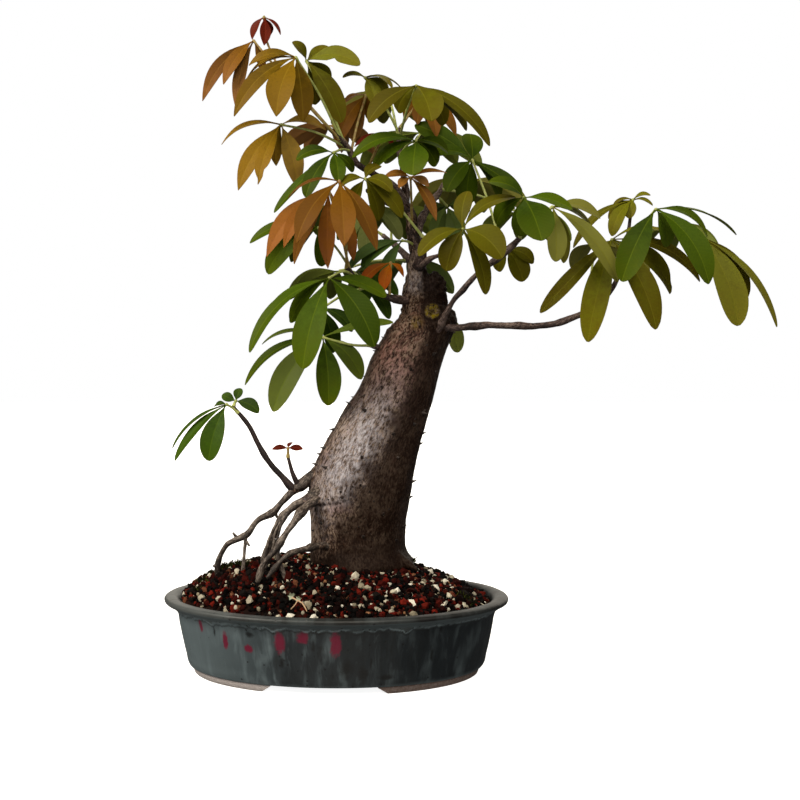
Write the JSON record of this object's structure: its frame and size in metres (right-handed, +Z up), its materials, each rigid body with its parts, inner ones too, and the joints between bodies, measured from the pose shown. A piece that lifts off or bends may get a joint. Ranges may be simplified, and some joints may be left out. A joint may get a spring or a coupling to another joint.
{
  "type": "silk floss tree bonsai",
  "caption": "Leaning bonsai with a thick spiny trunk, exposed roots, long side branches and palm-shaped leaves, in a shallow oval glazed pot.",
  "frame": {"origin": "on the surface that the pot stands on, under the middle of the whole plant's box", "axes": "+Z up, +X the way the trunk leans and the long branch reaches, -Y the side that the tree is shown from"},
  "size_m": [0.5272, 0.2638, 0.5643],
  "materials": {
    "glazed_pot": "streaked grey-green glaze over stoneware, bare at the foot",
    "drain_mesh": "moulded mesh",
    "soil": "loose lava chips, pumice and fired clay grains",
    "bark": "living bark, smooth above and warty at the neck",
    "leaf_bronze": "waxy living leaf",
    "leaf_deep": "waxy living leaf",
    "leaf_gold": "waxy living leaf",
    "leaf_green": "waxy living leaf",
    "leaf_olive": "waxy living leaf",
    "leaf_orange": "waxy living leaf",
    "leaf_pale": "waxy living leaf",
    "leaf_red": "waxy living leaf",
    "leaf_rust": "waxy living leaf"
  },
  "bodies": {
    "root": {"pot": "glazed_pot", "drain_screen_left": "drain_mesh", "drain_screen_right": "drain_mesh", "soil": "soil", "wood": "bark", "leaf_young_red": "leaf_red", "leaf_young_bronze": "leaf_bronze", "leaf_olive_upper": "leaf_gold", "leaf_gold_top": "leaf_olive", "leaf_thin_top": "leaf_olive", "leaf_bronze_inner": "leaf_bronze", "leaf_bronze_dome": "leaf_olive", "leaf_maroon_back": "leaf_bronze", "leaf_green_high": "leaf_green", "leaf_deep_green": "leaf_green", "leaf_small_red": "leaf_red", "leaf_orange_star": "leaf_bronze", "leaf_gold_left": "leaf_gold", "leaf_green_crown": "leaf_green", "leaf_bronze_front": "leaf_bronze", "leaf_rust_left": "leaf_rust", "leaf_green_left": "leaf_green", "leaf_green_front": "leaf_green", "leaf_hidden_mid": "leaf_deep", "leaf_green_low": "leaf_green", "leaf_small_orange": "leaf_orange", "leaf_pale_inner": "leaf_pale", "leaf_olive_mid": "leaf_olive", "leaf_underside": "leaf_olive", "leaf_dark_inner": "leaf_deep", "leaf_broad_right": "leaf_green", "leaf_long_right": "leaf_olive", "leaf_branch_tip": "leaf_olive", "leaf_olive_spread": "leaf_olive", "leaf_bright_right": "leaf_green", "leaf_far_right": "leaf_olive", "leaf_new_right": "leaf_olive", "leaf_behind_trunk": "leaf_green", "leaf_blue_mid": "leaf_deep", "leaf_dark_mid": "leaf_deep", "twig_leaf_large": "leaf_deep", "twig_leaf_tip": "leaf_deep", "twig_leaf_maroon": "leaf_red", "leaf_rear_top": "leaf_olive", "leaf_rear_crown": "leaf_green", "leaf_rear_high_left": "leaf_bronze", "leaf_rear_left": "leaf_green", "leaf_rear_middle": "leaf_green", "leaf_rear_right": "leaf_olive", "leaf_rear_side": "leaf_green", "leaf_rear_low": "leaf_deep", "leaf_rear_low_left": "leaf_green", "leaf_rear_branch": "leaf_olive", "leaf_rear_tip": "leaf_green"}
  },
  "joints": []
}
